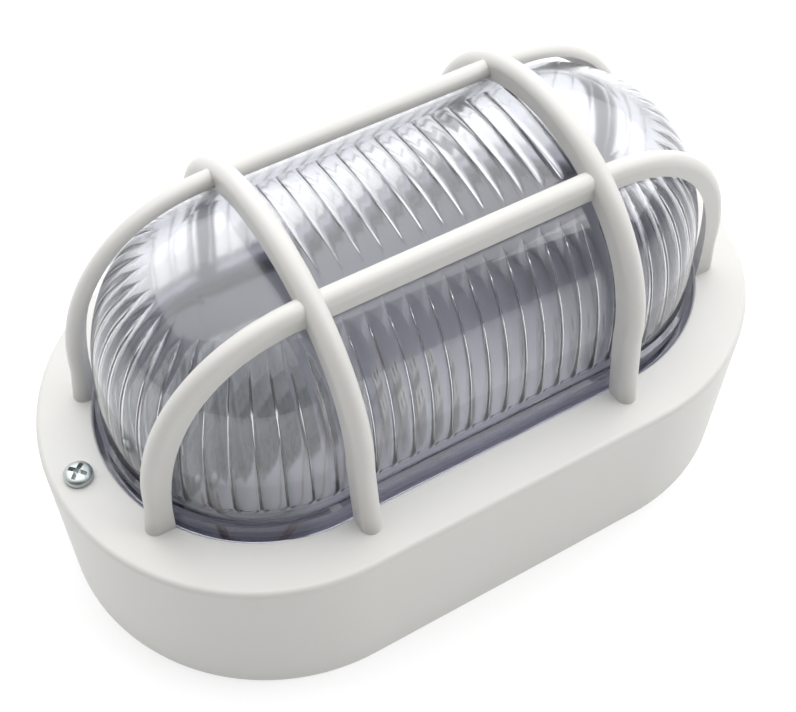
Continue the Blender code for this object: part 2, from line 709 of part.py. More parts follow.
def make_grommet():
    """Rubber grommet: a plug in the floor's hole, a flange on the floor and a cone round the cable."""
    plug = ENTRY_RADIUS - SEAT
    seat = BASE_FLOOR + SEAT
    top = seat + GROMMET_FLANGE_THICKNESS
    section = [
        (GROMMET_BORE, SEAT),
        (plug, SEAT),
        (plug, seat),
        (plug + GROMMET_FLANGE, seat),
        (plug + GROMMET_FLANGE, top),
        (plug - GROMMET_WALL / 2, top),
        (GROMMET_BORE + GROMMET_WALL, top + GROMMET_CONE),
        (GROMMET_BORE, top + GROMMET_CONE),
    ]
    turned("entry_grommet", section, GREY_RUBBER, (ENTRY_X, 0, 0), steps=ROUND_STEPS)


# Screws


def cross_recess(head, head_height):
    """A tapered cross-shaped cutter for a screw head."""
    bm = bmesh.new()
    arm = head * PAN_CROSS_ARM
    depth = head_height * PAN_CROSS_DEPTH
    rings = []
    for height, share in ((head_height - depth, PAN_CROSS_FOOT), (head_height + depth, PAN_CROSS_REACH)):
        ring = []
        for quarter in range(4):
            turn = math.pi / 2 * quarter
            for a, b in ((arm, -arm), (head * share, -arm), (head * share, arm)):
                x = a * math.cos(turn) - b * math.sin(turn)
                y = a * math.sin(turn) + b * math.cos(turn)
                ring.append((x, y, height))
        rings.append(ring)
    rows = skin(bm, rings)
    bm.faces.new(rows[0])
    bm.faces.new(rows[-1])
    return as_object(bm, "cross_guide", ZINC)


def slot_recess(head, head_height):
    half = head * PAN_SLOT_WIDTH / 2
    low = (-head - OVERRUN, -half, head_height * (1 - PAN_SLOT_DEPTH))
    high = (head + OVERRUN, half, head_height + OVERRUN)
    return block("slot_guide", low, high)


def pan_screw_mesh(name, radius, head, head_height, length, finish, crossed=False):
    """A pan-head screw with its head's underside at the origin and its shank down -Z."""
    section = [
        (0, -length),
        (radius, radius * 2 - length),
        (radius, 0),
        (head, 0),
        (head, head_height * PAN_RIM),
        (head * PAN_CROWN_RADIUS, head_height * PAN_CROWN),
        (0, head_height),
    ]
    screw = turned(name, section, finish, steps=ROUND_STEPS if crossed else SCREW_STEPS)
    recess = cross_recess(head, head_height) if crossed else slot_recess(head, head_height)
    boolean(screw, recess, "DIFFERENCE")
    return fixed_mesh(screw, name)


def make_cover_screws():
    mesh = pan_screw_mesh(
        "cover_screw", COVER_SCREW_RADIUS, COVER_SCREW_HEAD, COVER_SCREW_HEAD_HEIGHT,
        COVER_SCREW_LENGTH, ZINC, crossed=True,
    )
    for side, end, turn in zip((-1, 1), ("left", "right"), COVER_SCREW_TURNS):
        seat = (side * COVER_SCREW_X, 0, FRONT_HEIGHT + SEAT)
        place(mesh, f"cover_screw_{end}", seat, (0, 0, math.radians(turn)))


def make_small_screws():
    mesh = pan_screw_mesh(
        "small_screw", SMALL_SCREW_RADIUS, SMALL_SCREW_HEAD, SMALL_SCREW_HEAD_HEIGHT,
        SMALL_SCREW_LENGTH, ZINC,
    )
    x = BRACKET_FACE_X - BRACKET_SCREW_BACK
    back = BRACKET_FACE_X - BRACKET_THICKNESS - SEAT
    side_x = HOLDER_BACK_X + HOLDER_TERMINAL_BACK
    for number, side in ((1, -1), (2, 1)):
        foot_top = BRACKET_FOOT_BOTTOM + BRACKET_THICKNESS + SEAT
        place(mesh, f"bracket_screw_{number}", (x, side * BRACKET_SCREW_Y, foot_top))
        behind = (back, side * HOLDER_SCREW_Y, HOLDER_HEIGHT)
        place(mesh, f"holder_screw_{number}", behind, (0, -math.pi / 2, 0))
        flank = HOLDER_NECK_RADIUS + SEAT
        place(
            mesh, f"holder_terminal_screw_{number}", (side_x, side * flank, HOLDER_HEIGHT),
            (-side * math.pi / 2, 0, 0),
        )


# Lampholder


def make_holder_body():
    """Moulded socket body on its side: neck against the bracket, cup open towards the lamp."""
    inner = HOLDER_RADIUS - HOLDER_WALL
    section = [
        (0, 0),
        (HOLDER_NECK_RADIUS - HOLDER_EDGE, 0),
        (HOLDER_NECK_RADIUS, HOLDER_EDGE),
        (HOLDER_NECK_RADIUS, HOLDER_NECK_LENGTH),
        (HOLDER_RADIUS, HOLDER_NECK_LENGTH + HOLDER_RADIUS - HOLDER_NECK_RADIUS),
        (HOLDER_RADIUS, HOLDER_LENGTH - HOLDER_EDGE),
        (HOLDER_RADIUS - HOLDER_EDGE, HOLDER_LENGTH),
        (inner, HOLDER_LENGTH),
        (inner, HOLDER_FLOOR),
        (0, HOLDER_FLOOR),
    ]
    body = turned(
        "lampholder_body", section, PORCELAIN, (HOLDER_BACK_X, 0, HOLDER_HEIGHT), (0, math.pi / 2, 0)
    )
    for side in (-1, 1):
        bore = SMALL_SCREW_RADIUS + SEAT
        back_bore = rod(f"holder_bore_{side}", bore, -OVERRUN, SMALL_SCREW_LENGTH)
        back_bore.location = (HOLDER_BACK_X, side * HOLDER_SCREW_Y, HOLDER_HEIGHT)
        back_bore.rotation_euler = (0, math.pi / 2, 0)
        boolean(body, back_bore, "DIFFERENCE")
        flank = HOLDER_NECK_RADIUS - SMALL_SCREW_LENGTH - SEAT
        side_bore = rod(f"terminal_bore_{side}", bore, flank, HOLDER_NECK_RADIUS + OVERRUN)
        side_bore.location = (HOLDER_BACK_X + HOLDER_TERMINAL_BACK, 0, HOLDER_HEIGHT)
        side_bore.rotation_euler = (-side * math.pi / 2, 0, 0)
        boolean(body, side_bore, "DIFFERENCE")


def make_sleeve():
    """Thin brass sleeve with a rolled helical thread, a plain mouth and a plain foot."""
    steps = SMALL_STEPS
    per_turn = THREAD_ROWS_PER_TURN
    rows = THREAD_TURNS * per_turn
    thread_start = (SLEEVE_LENGTH - THREAD_TURNS * THREAD_PITCH) / 2
    bm = bmesh.new()
    rings = []
    for inner in (False, True):
        radius = SLEEVE_RADIUS - (SLEEVE_WALL if inner else 0.0)
        skin_rings = [[(radius, 0.0)] * steps]
        for row in range(rows + 1):
            height = thread_start + row * THREAD_PITCH / per_turn
            fade = min(row, rows - row, per_turn / 2) / (per_turn / 2)
            ring = []
            for step in range(steps):
                phase = 2 * math.pi * (row / per_turn - step / steps)
                ring.append((radius - fade * THREAD_DEPTH * (0.5 - 0.5 * math.cos(phase)), height))
            skin_rings.append(ring)
        skin_rings.append([(radius, SLEEVE_LENGTH)] * steps)
        rings += skin_rings[::-1] if inner else skin_rings
    points = []
    for ring in rings:
        turns = [2 * math.pi * step / steps for step in range(steps)]
        points.append([(r * math.cos(t), r * math.sin(t), h) for (r, h), t in zip(ring, turns)])
    skin(bm, points, wrap=True)
    mouth_x = HOLDER_BACK_X + HOLDER_LENGTH - SLEEVE_MOUTH_SET
    foot = (mouth_x - SLEEVE_LENGTH, 0, HOLDER_HEIGHT)
    as_object(bm, "threaded_sleeve", BRASS, foot, (0, math.pi / 2, 0))


def bent_strip(name, centre_line, width, thickness, finish):
    """A strip of sheet of one thickness following (x, z) points, made by Solidify."""
    bm = bmesh.new()
    rows = []
    for x, z in centre_line:
        rows.append([bm.verts.new((x, -width / 2, z)), bm.verts.new((x, width / 2, z))])
    for low, high in zip(rows, rows[1:]):
        bm.faces.new((low[0], high[0], high[1], low[1]))
    strip = as_object(bm, name, finish)
    solid = strip.modifiers.new("sheet", "SOLIDIFY")
    solid.thickness = thickness
    solid.offset = 0
    solid.use_even_offset = True
    return strip


def make_contacts():
    """Sprung tongue for the lamp's tip, and a strip up to the sleeve's foot."""
    floor_x = HOLDER_BACK_X + HOLDER_FLOOR + SEAT + CONTACT_THICKNESS / 2
    reach = SLEEVE_RADIUS / 2
    tongue = [
        (floor_x, HOLDER_HEIGHT - reach),
        (floor_x, HOLDER_HEIGHT - reach / 2),
        (floor_x + CONTACT_RISE * 0.6, HOLDER_HEIGHT),
        (floor_x + CONTACT_RISE, HOLDER_HEIGHT + reach / 4),
        (floor_x + CONTACT_RISE * 0.9, HOLDER_HEIGHT + reach / 2),
    ]
    bent_strip("centre_contact", tongue, CONTACT_WIDTH, CONTACT_THICKNESS, BRASS)
    sleeve_foot = HOLDER_BACK_X + HOLDER_LENGTH - SLEEVE_MOUTH_SET - SLEEVE_LENGTH
    low = HOLDER_HEIGHT + SIDE_CONTACT_OFFSET
    high = HOLDER_HEIGHT + SLEEVE_RADIUS - SLEEVE_WALL / 2
    side_strip = [
        (floor_x, low),
        (floor_x, (low + high) / 2),
        (sleeve_foot - SEAT - CONTACT_THICKNESS / 2, high - CONTACT_THICKNESS),
        (sleeve_foot - SEAT - CONTACT_THICKNESS / 2, high + CONTACT_THICKNESS / 2 - SEAT),
    ]
    bent_strip("sleeve_contact", side_strip, CONTACT_WIDTH, CONTACT_THICKNESS, BRASS)


def make_bracket():
    """Folded steel angle: a foot on two bosses and an upright behind the holder."""
    top = HOLDER_HEIGHT + HOLDER_NECK_RADIUS - BRACKET_TOP_MARGIN
    middle = BRACKET_THICKNESS / 2
    upright_x = BRACKET_FACE_X - middle
    foot_z = BRACKET_FOOT_BOTTOM + middle
    bend = [
        (upright_x + a, foot_z + b)
        for a, b in arc(-BRACKET_BEND, BRACKET_BEND, BRACKET_BEND, -90, 0, BEND_STEPS)
    ]
    line = [(BRACKET_FACE_X - BRACKET_FOOT, foot_z), *bend, (upright_x, top)]
    bracket = bent_strip("holder_bracket", line, BRACKET_WIDTH, BRACKET_THICKNESS, ZINC)
    for side in (-1, 1):
        bore = SMALL_SCREW_RADIUS + SEAT
        x = BRACKET_FACE_X - BRACKET_SCREW_BACK
        foot_hole = rod(
            f"foot_hole_{side}", bore, BRACKET_FOOT_BOTTOM - OVERRUN,
            BRACKET_FOOT_BOTTOM + BRACKET_THICKNESS + OVERRUN, x, side * BRACKET_SCREW_Y,
        )
        boolean(bracket, foot_hole, "DIFFERENCE")
        upright_hole = rod(f"upright_hole_{side}", bore, -middle - OVERRUN, middle + OVERRUN)
        upright_hole.location = (upright_x, side * HOLDER_SCREW_Y, HOLDER_HEIGHT)
        upright_hole.rotation_euler = (0, math.pi / 2, 0)
        boolean(bracket, upright_hole, "DIFFERENCE")


# Terminal block


def pole_y(side):
    return BLOCK_Y + side * BLOCK_POLE_PITCH / 2


def make_terminal_block():
    half_x = BLOCK_LENGTH / 2
    top = BLOCK_BOTTOM + BLOCK_HEIGHT
    half_bridge = BLOCK_POLE_PITCH / 2
    body = block(
        "terminal_block", (BLOCK_X - half_x, BLOCK_Y - half_bridge, BLOCK_BOTTOM),
        (BLOCK_X + half_x, BLOCK_Y + half_bridge, BLOCK_BOTTOM + BLOCK_BRIDGE_HEIGHT), BLOCK_PLASTIC,
    )
    bore = BLOCK_TUBE_RADIUS + SEAT
    for side in (-1, 1):
        half_y = BLOCK_POLE_WIDTH / 2
        low = (BLOCK_X - half_x - SEAT, pole_y(side) - half_y, BLOCK_BOTTOM - SEAT / 2)
        high = (BLOCK_X + half_x + SEAT, pole_y(side) + half_y, top)
        boolean(body, block(f"pole_{side}", low, high), "UNION")
    for side in (-1, 1):
        tunnel = rod(f"tunnel_{side}", bore, -half_x - OVERRUN, half_x + OVERRUN)
        tunnel.location = (BLOCK_X, pole_y(side), BLOCK_BOTTOM + BLOCK_TUBE_HEIGHT)
        tunnel.rotation_euler = (0, math.pi / 2, 0)
        boolean(body, tunnel, "DIFFERENCE")
        for end in (-1, 1):
            x = BLOCK_X + end * BLOCK_SCREW_SPACING / 2
            shaft = rod(
                f"screw_shaft_{side}_{end}", BLOCK_SCREW_HEAD + SEAT,
                BLOCK_BOTTOM + BLOCK_TUBE_HEIGHT, top + OVERRUN, x, pole_y(side),
            )
            boolean(body, shaft, "DIFFERENCE")
    fixing = rod(
        "block_fixing_hole", SMALL_SCREW_RADIUS + SEAT,
        BLOCK_BOTTOM - OVERRUN, top + OVERRUN, BLOCK_X, BLOCK_Y,
    )
    boolean(body, fixing, "DIFFERENCE")


def make_terminal_metal():
    """Brass tubes with their clamp screws, and the screw that holds the block."""
    screw = pan_screw_mesh(
        "clamp_screw", BLOCK_SCREW_RADIUS, BLOCK_SCREW_HEAD, BLOCK_SCREW_RADIUS,
        BLOCK_TUBE_RADIUS + BLOCK_TUBE_WALL, BRASS,
    )
    inner = BLOCK_TUBE_RADIUS - BLOCK_TUBE_WALL
    half = BLOCK_LENGTH / 2 - BLOCK_TUBE_INSET
    axis_z = BLOCK_BOTTOM + BLOCK_TUBE_HEIGHT
    number = 1
    for side, pole in ((-1, "live"), (1, "neutral")):
        section = [(inner, -half), (BLOCK_TUBE_RADIUS, -half), (BLOCK_TUBE_RADIUS, half), (inner, half)]
        tube = turned(
            f"terminal_tube_{pole}", section, BRASS, (BLOCK_X, pole_y(side), axis_z), (0, math.pi / 2, 0),
            steps=SMALL_STEPS,
        )
        for end in (-1, 1):
            x = BLOCK_X + end * BLOCK_SCREW_SPACING / 2
            tap = rod(
                f"tap_{pole}_{end}", BLOCK_SCREW_RADIUS + SEAT,
                axis_z, axis_z + BLOCK_TUBE_RADIUS + OVERRUN, x, pole_y(side), steps=SCREW_STEPS,
            )
            boolean(tube, tap, "DIFFERENCE")
            place(screw, f"clamp_screw_{number}", (x, pole_y(side), axis_z + BLOCK_TUBE_RADIUS + SEAT))
            number += 1
    length = BLOCK_BRIDGE_HEIGHT + BLOCK_PAD_HEIGHT
    fixing = pan_screw_mesh(
        "block_screw", SMALL_SCREW_RADIUS, BLOCK_FIXING_HEAD, SMALL_SCREW_HEAD_HEIGHT, length, ZINC

    )
    place(fixing, "block_screw", (BLOCK_X, BLOCK_Y, BLOCK_BOTTOM + BLOCK_BRIDGE_HEIGHT + SEAT))


# Wires


def smooth_route(stops, steps):
    """Points of a Catmull-Rom curve through the stops."""
    stops = [Vector(stop) for stop in stops]
    padded = [2 * stops[0] - stops[1], *stops, 2 * stops[-1] - stops[-2]]
    points = []
    for a, b, c, d in zip(padded, padded[1:], padded[2:], padded[3:]):
        for step in range(steps):
            t = step / steps
            bend = (2 * a - 5 * b + 4 * c - d) * t**2 + (3 * b - a - 3 * c + d) * t**3
            points.append((2 * b + (c - a) * t + bend) / 2)
    points.append(stops[-1])
    return points


def wire(name, stops, finish):
    curve = bpy.data.curves.new(name, "CURVE")
    curve.dimensions = "3D"
    curve.bevel_depth = WIRE_RADIUS
    curve.bevel_resolution = 2
    curve.use_fill_caps = True
    route = smooth_route(stops, WIRE_STEPS)
    spline = curve.splines.new("POLY")
    spline.points.add(len(route) - 1)
    for point, place_at in zip(spline.points, route):
        point.co = (*place_at, 1.0)
    curve.materials.append(material(finish))
    place(curve, name)


def make_wires():
    """One wire a pole, from inside the block's tube, over the wall-fixing collars and up to the holder."""
    tube_z = BLOCK_BOTTOM + BLOCK_TUBE_HEIGHT
    block_end = BLOCK_X - BLOCK_LENGTH / 2
    floor_z = BASE_FLOOR + FIXING_COLLAR_HEIGHT + WIRE_CLEARANCE + WIRE_RADIUS
    end_x = HOLDER_BACK_X + HOLDER_TERMINAL_BACK
    end_z = HOLDER_HEIGHT - WIRE_END_DROP
    head_y = HOLDER_NECK_RADIUS + SEAT + SMALL_SCREW_HEAD_HEIGHT
    for side, name, finish in ((-1, "wire_live", WIRE_BROWN), (1, "wire_neutral", WIRE_BLUE)):
        start_y = pole_y(side)
        end_y = side * (head_y + WIRE_RADIUS + SEAT)
        stops = [(block_end + BLOCK_TUBE_INSET, start_y, tube_z), (block_end - WIRE_EXIT, start_y, tube_z)]
        for along, out, up in WIRE_SHARES:
            x = block_end + (end_x - block_end) * along
            y = start_y + (end_y - start_y) * out
            stops.append((x, y, floor_z + (end_z - floor_z) * up))
        stops.append((end_x, end_y, end_z))
        wire(name, stops, finish)


def main():
    clear_scene()
    make_guard_cover()
    make_lens()
    make_gasket()
    make_base()
    make_grommet()
    make_cover_screws()
    make_small_screws()
    make_holder_body()
    make_sleeve()
    make_contacts()
    make_bracket()
    make_terminal_block()
    make_terminal_metal()
    make_wires()


main()
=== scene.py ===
# %% [markdown]
# # An oval caged bulkhead light
#
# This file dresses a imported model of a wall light: a deep white moulding with a four-bar cage, a clear
# fluted lens under it and a lampholder inside. The construction is already fixed and comes in as a frame.
# Here the two mouldings and the two screws that the eye rests on are modelled again with fine rounds,
# every surface gets its finish, and a small studio is put up round the light.

# %% Load the frame
import math

import bmesh
import bpy
from mathutils import Matrix, Vector


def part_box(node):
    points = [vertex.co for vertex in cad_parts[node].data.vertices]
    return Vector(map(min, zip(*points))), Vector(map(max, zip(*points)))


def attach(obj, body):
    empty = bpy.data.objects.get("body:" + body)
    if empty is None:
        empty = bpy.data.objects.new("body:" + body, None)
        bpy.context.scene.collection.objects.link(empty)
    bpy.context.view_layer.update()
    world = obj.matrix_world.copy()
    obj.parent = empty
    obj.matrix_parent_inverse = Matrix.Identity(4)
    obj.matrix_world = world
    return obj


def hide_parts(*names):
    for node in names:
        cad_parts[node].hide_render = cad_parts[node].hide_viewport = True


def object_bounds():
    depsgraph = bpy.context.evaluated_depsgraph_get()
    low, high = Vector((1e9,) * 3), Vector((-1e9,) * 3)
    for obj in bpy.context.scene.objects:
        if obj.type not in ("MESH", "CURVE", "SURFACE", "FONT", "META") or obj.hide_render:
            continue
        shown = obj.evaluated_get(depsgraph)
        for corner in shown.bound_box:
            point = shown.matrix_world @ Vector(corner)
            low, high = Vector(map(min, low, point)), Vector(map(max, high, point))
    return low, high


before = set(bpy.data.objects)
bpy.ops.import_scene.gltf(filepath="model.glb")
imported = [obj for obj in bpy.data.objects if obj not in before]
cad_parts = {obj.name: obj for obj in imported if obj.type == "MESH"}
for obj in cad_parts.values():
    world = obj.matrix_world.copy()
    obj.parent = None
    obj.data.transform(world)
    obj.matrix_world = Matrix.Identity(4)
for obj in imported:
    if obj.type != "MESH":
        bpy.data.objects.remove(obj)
cad_low, cad_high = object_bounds()
MM = 0.001
print("frame box in mm", [round(v / MM, 1) for v in (*cad_low, *cad_high)])

# %% [markdown]
# ## Working as by hand
#
# Each helper does what a modeller does with the mouse: draw a line by extruding one point, pick points
# by where they are, and finish with modifiers that are applied at once. A mesh could also be written as
# lists of points and faces, but then nobody can see from the script how the shape came about. An operator
# acts on all that is selected, so each helper first clears the selection.


# %% Helpers for modelling
def point(*place):
    """A place given in millimetres, as the metres that Blender works in."""
    return Vector(place) * MM


def work_on(piece):
    """Makes one piece the only selected one, and the one that operators act on."""
    bpy.ops.object.select_all(action="DESELECT")
    bpy.context.view_layer.objects.active = piece
    piece.select_set(True)


def draw_line(name, stops):
    """Draws a line from one point, extruded from stop to stop, and stays in edit mode."""
    bpy.ops.object.select_all(action="DESELECT")
    bpy.ops.mesh.primitive_plane_add(size=MM)
    piece = bpy.context.object
    piece.name = piece.data.name = name
    bpy.ops.object.mode_set(mode="EDIT")
    bpy.ops.mesh.merge(type="CENTER")
    bpy.ops.transform.translate(value=stops[0])
    for before, after in zip(stops, stops[1:]):
        bpy.ops.mesh.extrude_region_move(TRANSFORM_OT_translate={"value": after - before})
    bpy.ops.mesh.select_all(action="SELECT")
    return piece


def pick(rule):
    """Selects in edit mode the points whose place a rule holds for."""
    bpy.ops.mesh.select_mode(type="VERT")
    bpy.ops.mesh.select_all(action="DESELECT")
    mesh = bpy.context.object.data
    shape = bmesh.from_edit_mesh(mesh)
    for vertex in shape.verts:
        if rule(vertex.co):
            vertex.select_set(True)
    shape.select_flush_mode()
    bmesh.update_edit_mesh(mesh)


def weld():
    """Joins points that meet, within a hundredth of a millimetre."""
    bpy.ops.mesh.remove_doubles(threshold=MM / 100)


def weld_and_close():
    """Joins points that meet, turns the faces outward and leaves edit mode."""
    bpy.ops.mesh.select_all(action="SELECT")
    weld()
    bpy.ops.mesh.select_all(action="SELECT")
    bpy.ops.mesh.normals_make_consistent(inside=False)
    bpy.ops.object.mode_set(mode="OBJECT")


def apply_modifier(piece, kind, **settings):
    """Adds a modifier, sets it up and applies it at once."""
    modifier = piece.modifiers.new(kind.lower(), kind)
    for setting, value in settings.items():
        setattr(modifier, setting, value)
    work_on(piece)
    bpy.ops.object.modifier_apply(modifier=modifier.name)


def join_or_cut(piece, operation, *others):
    """Joins or cuts with other shapes, and removes them."""
    for other in others:
        apply_modifier(piece, "BOOLEAN", operation=operation, object=other)
        bpy.data.objects.remove(other, do_unlink=True)


def shade(piece, degrees):
    """Smooth shading with folds kept sharp and flat faces kept flat."""
    work_on(piece)
    bpy.ops.object.shade_smooth_by_angle(angle=math.radians(degrees))
    apply_modifier(piece, "WEIGHTED_NORMAL", keep_sharp=True)
    print(piece.name, len(piece.data.polygons), "faces")


# %% [markdown]
# ## From a section to an oval
#
# Cover and lens are ovals: a straight middle with a half circle at each end. So one length, from the
# middle to the centre of an end, and a distance from that centre line describe every outline. Both come
# from the frame's box.
#
# Such a ring could be a curve with a bevel shape, or a bevelled box. Here its section is drawn as a line
# at the near end of the right-hand half circle, spun half a turn, carried along the straight back, spun
# round the other end and carried along the straight front. That gives every row of faces a known place,
# which the lens needs for its flutes. Where a section touches the centre line, the straight runs weld
# into the ridge of a dome. A list of shares divides every cell of the pattern, so that small steps fall
# where a groove or rib needs them.

# %% Driving sizes of the oval in millimetres
SPINE = ((cad_high.x - cad_low.x) - (cad_high.y - cad_low.y)) / 2 / MM
OUTER = (cad_high.y - cad_low.y) / 2 / MM
print("centre of an end", round(SPINE, 2), "mm out, skirt", round(OUTER, 2), "mm from the centre line")


# %% Round the oval
def round_the_oval(name, section, end_cells, straight_cells, shares=(1.0,)):
    """Sweeps (offset, height) stops round the oval."""
    piece = draw_line(name, [point(SPINE, -offset, height) for offset, height in section])
    for side in (1, -1):
        middle = point(side * SPINE, 0, 0)
        for share in [*shares] * end_cells:
            turn = -math.pi * share / end_cells
            bpy.ops.mesh.spin(steps=1, angle=turn, center=middle, axis=(0, 0, 1))
        for share in [*shares] * straight_cells:
            step = point(-side * 2 * SPINE * share / straight_cells, 0, 0)
            bpy.ops.mesh.extrude_region_move(TRANSFORM_OT_translate={"value": step})
    weld_and_close()
    return piece


# %% Rounds in a section
def arc(across, height, radius, start, end, steps):
    """Stops of a round corner in a section, between two angles in degrees."""
    turns = [math.radians(start + (end - start) * i / steps) for i in range(steps + 1)]
    return [(across + radius * math.cos(t), height + radius * math.sin(t)) for t in turns]


def dome(foot, top, radius, power, degrees):
    """Stops up a superelliptic dome, at angles from its foot."""
    turns = [math.radians(d) for d in degrees]
    powers = [(max(math.cos(t), 0.0) ** (2 / power), math.sin(t) ** (2 / power)) for t in turns]
    return [(radius * across, foot + (top - foot) * up) for across, up in powers]


# %% [markdown]
# ## The cover
#
# The cover is moulded in one piece with its cage. Its skirt and flat front rim have the same section
# all the way round: a rounded outer edge, a small round at the opening, and an even wall behind. The two
# rounds could be bevels, but as arcs in the section they keep their true radius round the ends, and no
# bevel runs into the cage's feet. The skirt ends a little short of the wall that the light hangs on, so
# that it can't catch on an uneven one.

# %% Skirt and front rim
FACE_HEIGHT, FACE_WALL, FACE_FILLET = 52.5, 2.7, 1.8
SKIRT_WALL, SKIRT_LIFT = 2.4, 0.8
OPENING, OPENING_FILLET = 46.7, 0.7
END_STEPS = 64

inner = OUTER - SKIRT_WALL
underside = FACE_HEIGHT - FACE_WALL
skirt_section = [
    (OUTER, SKIRT_LIFT),
    *arc(OUTER - FACE_FILLET, FACE_HEIGHT - FACE_FILLET, FACE_FILLET, 0, 90, steps=8),
    *arc(OPENING + OPENING_FILLET, FACE_HEIGHT - OPENING_FILLET, OPENING_FILLET, 90, 180, steps=5),
    (OPENING, underside),
    (inner, underside),
    (inner, SKIRT_LIFT),
    (OUTER, SKIRT_LIFT),
]
cover = round_the_oval("cover_and_guard", skirt_section, END_STEPS, 1)
print("cover", len(cover.data.polygons), "faces")

# %% [markdown]
# ## The cage
#
# Two hoops run along the light and two across it. Each is one bar with a half-round outer side and flat
# flanks, which lets the moulding leave its mould. Its line is a leaning leg, a shoulder that is part of a
# superellipse, and a flat or gently domed top. A curve with a bevel shape would twist and pinch at the
# shoulders, so the section is drawn, filled and then extruded from stop to stop along the arch, turned a
# little each time. The feet sink a little into the rim, so that the union with the cover is clean.
#
# The two long hoops are made too deep, and the domed core of the mould is cut away from them. That thins
# them towards the ends, as in the real cage.

# %% Line of a hoop
BAR_WIDTH, BAR_DEPTH, BAR_STEPS = 5.7, 6.8, 16
ARCH_STEPS = 40
FOOT_SINK = 1.3


def arch_stops(foot, leg, leg_top, straight, top, power):
    """Crown line from foot to foot as (reach, height): leaning leg, rounded shoulder, straight top."""
    lean = (foot - leg) / (leg_top - FACE_HEIGHT)
    half = [(foot + lean * FOOT_SINK, FACE_HEIGHT - FOOT_SINK)]
    for step in range(ARCH_STEPS + 1):
        turn = math.pi / 2 * step / ARCH_STEPS
        reach = straight + (leg - straight) * max(math.cos(turn), 0) ** (2 / power)
        half.append((reach, leg_top + (top - leg_top) * math.sin(turn) ** (2 / power)))
    other = [(-reach, height) for reach, height in reversed(half)]
    return half + (other if straight > 0 else other[1:])


# %% Bar swept along the line
def make_hoop(name, stops, depth, aside, across):
    """Sweeps the bar along an arch, which stands lengthwise or across the light."""
    half = BAR_WIDTH / 2
    foot, height = stops[0]
    crown_arc = arc(0, 0, half, 90, -90, BAR_STEPS)
    section = [(foot - depth, half), *[(foot - half + x, y) for x, y in crown_arc]]
    section += [(foot - depth, -half), (foot - depth, half)]
    hoop = draw_line(name, [point(x, y, height) for x, y in section])
    weld()
    bpy.ops.mesh.edge_face_add()
    turned = 0.0
    for i in range(len(stops)):
        before, after = stops[max(i - 1, 0)], stops[min(i + 1, len(stops) - 1)]
        turn = math.atan2(before[0] - after[0], after[1] - before[1])
        if i > 0:
            step = point(stops[i][0] - stops[i - 1][0], 0, stops[i][1] - stops[i - 1][1])
            bpy.ops.mesh.extrude_region_move(TRANSFORM_OT_translate={"value": step})
        crown = point(stops[i][0], 0, stops[i][1])
        bpy.ops.transform.rotate(value=turn - turned, orient_axis="Y", center_override=crown)
        turned = turn
    bpy.ops.mesh.select_all(action="SELECT")
    if across:
        bpy.ops.transform.rotate(value=math.pi / 2, orient_axis="Z", center_override=(0, 0, 0))
    bpy.ops.transform.translate(value=point(aside, 0, 0) if across else point(0, aside, 0))
    weld_and_close()
    return hoop


# %% Cage joined to the cover
CROSS_PLACE, CROSS_FOOT, CROSS_LEG, CROSS_LEG_TOP = 40.4, 53.9, 50.55, 75.0
CROSS_TOP, CROSS_POWER = 123.5, 2.04
LONG_PLACE, LONG_FOOT, LONG_LEG, LONG_LEG_TOP = 23.8, 91.0, 89.65, 63.5
LONG_TOP, LONG_POWER, LONG_STRAIGHT = 116.05, 2.17, 40.7
CORE_TOP, CORE_RADIUS, CORE_POWER, CORE_SINK = 116.7, 47.0, 2.47, 9

cross_stops = arch_stops(CROSS_FOOT, CROSS_LEG, CROSS_LEG_TOP, 0.0, CROSS_TOP, CROSS_POWER)
long_stops = arch_stops(LONG_FOOT, LONG_LEG, LONG_LEG_TOP, LONG_STRAIGHT, LONG_TOP, LONG_POWER)
core_section = [(0, FACE_HEIGHT - CORE_SINK), (CORE_RADIUS, FACE_HEIGHT - CORE_SINK)]
core_section += dome(FACE_HEIGHT, CORE_TOP, CORE_RADIUS, CORE_POWER, range(0, 91, 3))
for side in (-1, 1):
    long_hoop = make_hoop("long_hoop", long_stops, 2 * BAR_DEPTH, side * LONG_PLACE, across=False)
    core = round_the_oval("core", core_section, END_STEPS, 1)
    join_or_cut(long_hoop, "DIFFERENCE", core)
    cross_hoop = make_hoop("cross_hoop", cross_stops, BAR_DEPTH, side * CROSS_PLACE, across=True)
    join_or_cut(cover, "UNION", long_hoop, cross_hoop)
print("cover with its cage", len(cover.data.polygons), "faces")

# %% [markdown]
# ## Screw holes
#
# The two cover screws go through the front rim, each in a hole with a little play. A hole could be a dark
# disc under the head, but a real cut costs next to nothing and stays right from behind, where it shows.
# With its holes the cover is done. It then takes the place of the imported one: that solid is hidden, and
# the new piece rides on the same body.

# %% Screw holes
SCREW_PLACE, SCREW_HOLE, HOLE_SIDES = 99.3, 2.3, 32

for side in (-1, 1):
    bpy.ops.object.select_all(action="DESELECT")
    hole_middle = point(side * SCREW_PLACE, 0, FACE_HEIGHT - FACE_WALL / 2)
    bpy.ops.mesh.primitive_cylinder_add(
        vertices=HOLE_SIDES, radius=SCREW_HOLE * MM, depth=2 * FACE_WALL * MM, location=hole_middle
    )
    join_or_cut(cover, "DIFFERENCE", bpy.context.object)
shade(cover, degrees=30)
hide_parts("guard_cover")
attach(cover, "root")

# %% [markdown]
# ## The cover screws
#
# Two pan-head screws with a cross recess hold the cover. Their heads sit in the open on the rim, so they
# are shaped finely: a low dome with a soft edge and a deep recess with leaning walls. The profile is drawn
# as a line and spun round the screw's axis, which gives a truer turned form than a squashed ball. The
# recess is cut with two narrow wedges, as the punch does it. The two heads stopped at different turns
# when they were driven in.

